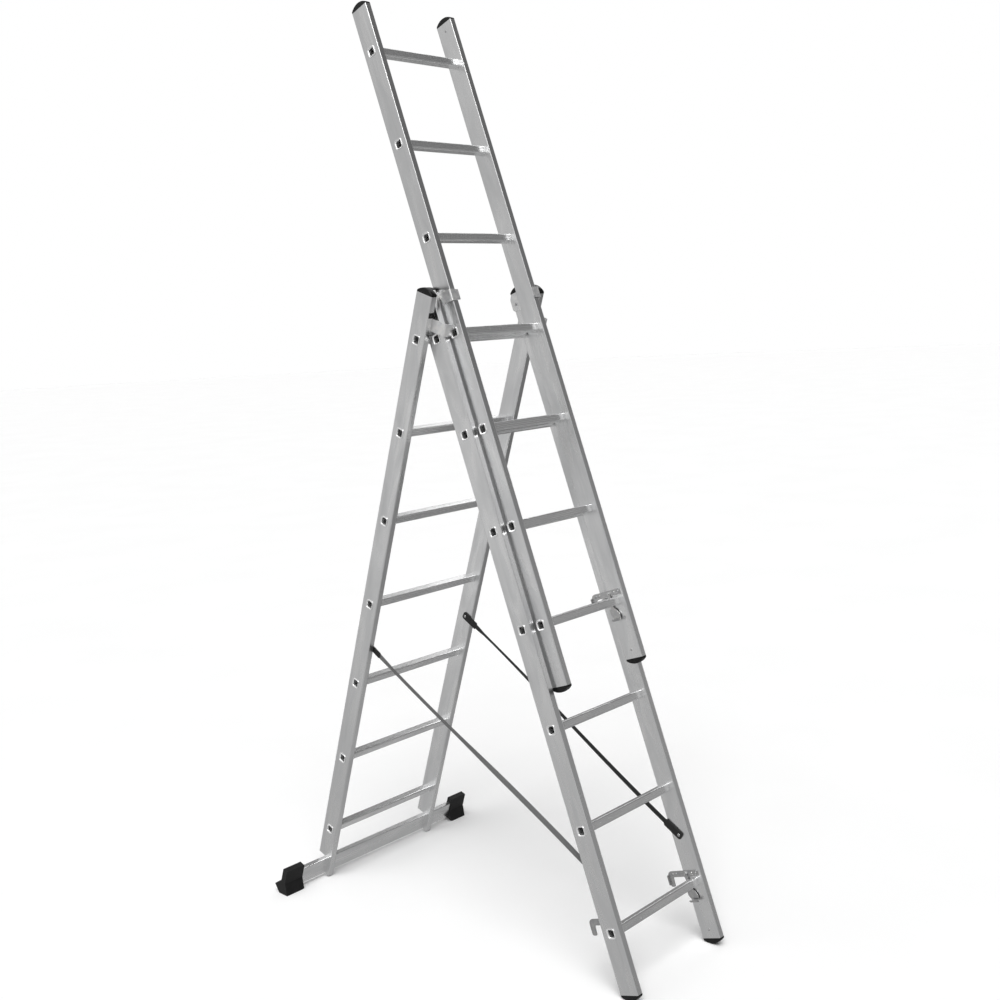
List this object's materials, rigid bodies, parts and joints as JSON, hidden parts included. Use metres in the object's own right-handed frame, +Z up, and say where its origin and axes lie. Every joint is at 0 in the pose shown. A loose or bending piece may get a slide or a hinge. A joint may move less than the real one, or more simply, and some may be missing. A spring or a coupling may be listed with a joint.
{
  "type": "extension ladder",
  "caption": "Three-section aluminium ladder standing as an A-frame on a stabiliser bar, its top section raised, with hinged legs, rung hooks and restraint straps.",
  "frame": {"origin": "centre of the footprint, on the floor", "axes": "+X along the rungs, to the right of a person who climbs the front leg, +Y from the climbing leg to the rear leg, +Z up"},
  "size_m": [0.81, 1.323, 2.7165],
  "materials": {
    "stile_aluminium": "mill-finished extrusion, satin, fine lengthwise drawing lines",
    "rung_aluminium": "mill-finished extrusion with tread grooves",
    "zinc_steel": "bright zinc plated pressed steel",
    "black_plastic": "satin moulded black plastic",
    "rubber": "matt black moulded rubber",
    "webbing": "woven dark webbing"
  },
  "bodies": {
    "middle_section": {"middle_stile_left": "stile_aluminium", "middle_stile_right": "stile_aluminium", "middle_rung_1": "rung_aluminium", "middle_rung_2": "rung_aluminium", "middle_rung_3": "rung_aluminium", "middle_rung_4": "rung_aluminium", "middle_rung_5": "rung_aluminium", "middle_rung_6": "rung_aluminium", "middle_rung_7": "rung_aluminium", "middle_foot_cap_left": "black_plastic", "middle_foot_cap_right": "black_plastic", "middle_top_caps": "black_plastic", "loop_bracket_left": "zinc_steel", "loop_bracket_right": "zinc_steel", "middle_hook_left": "zinc_steel", "middle_hook_right": "zinc_steel", "middle_rivets": "zinc_steel", "strap_left": "webbing", "strap_right": "webbing"},
    "rear_section": {"rear_stile_left": "stile_aluminium", "rear_stile_right": "stile_aluminium", "rear_rung_1": "rung_aluminium", "rear_rung_2": "rung_aluminium", "rear_rung_3": "rung_aluminium", "rear_rung_4": "rung_aluminium", "rear_rung_5": "rung_aluminium", "rear_rung_6": "rung_aluminium", "rear_rung_7": "rung_aluminium", "stabiliser_bar": "stile_aluminium", "bar_bolts": "zinc_steel", "rubber_foot_left": "rubber", "rubber_foot_right": "rubber", "rear_top_caps": "black_plastic", "hinge_bracket_left": "zinc_steel", "hinge_bracket_right": "zinc_steel", "hinge_pin_left": "zinc_steel", "hinge_pin_right": "zinc_steel", "edge_pads": "black_plastic", "rear_rivets": "zinc_steel"},
    "upper_section": {"upper_stile_left": "stile_aluminium", "upper_stile_right": "stile_aluminium", "upper_rung_1": "rung_aluminium", "upper_rung_2": "rung_aluminium", "upper_rung_3": "rung_aluminium", "upper_rung_4": "rung_aluminium", "upper_rung_5": "rung_aluminium", "upper_rung_6": "rung_aluminium", "upper_rung_7": "rung_aluminium", "upper_foot_cap_left": "black_plastic", "upper_foot_cap_right": "black_plastic", "upper_top_caps": "black_plastic", "upper_hook_left": "zinc_steel", "upper_hook_right": "zinc_steel", "upper_rivets": "zinc_steel"},
    "middle_latch_body_left": {"middle_latch_left": "zinc_steel"},
    "middle_latch_body_right": {"middle_latch_right": "zinc_steel"},
    "upper_latch_body_left": {"upper_latch_left": "zinc_steel"},
    "upper_latch_body_right": {"upper_latch_right": "zinc_steel"}
  },
  "joints": [
    {"name": "fold", "type": "hinge", "parent": "middle_section", "child": "rear_section", "pos_m": [0, 0, 1.76764], "axis": [-1, 0, 0], "range_deg": [0, 36], "deforming": ["strap_left", "strap_right"]},
    {"name": "lift", "type": "slide", "parent": "middle_section", "child": "upper_section", "axis": [0, 0.3272, 0.9449], "range_m": [0, 0.23]},
    {"name": "middle_latch_swing_left", "type": "hinge", "parent": "middle_section", "child": "middle_latch_body_left", "pos_m": [0, -0.54533, 0.1913], "axis": [1, 0, 0], "range_deg": [0, 15]},
    {"name": "middle_latch_swing_right", "type": "hinge", "parent": "middle_section", "child": "middle_latch_body_right", "pos_m": [0, -0.54533, 0.1913], "axis": [1, 0, 0], "range_deg": [0, 15]},
    {"name": "upper_latch_swing_left", "type": "hinge", "parent": "upper_section", "child": "upper_latch_body_left", "pos_m": [0, -0.31488, 1.00044], "axis": [1, 0, 0], "range_deg": [0, 15]},
    {"name": "upper_latch_swing_right", "type": "hinge", "parent": "upper_section", "child": "upper_latch_body_right", "pos_m": [0, -0.31488, 1.00044], "axis": [1, 0, 0], "range_deg": [0, 15]}
  ]
}
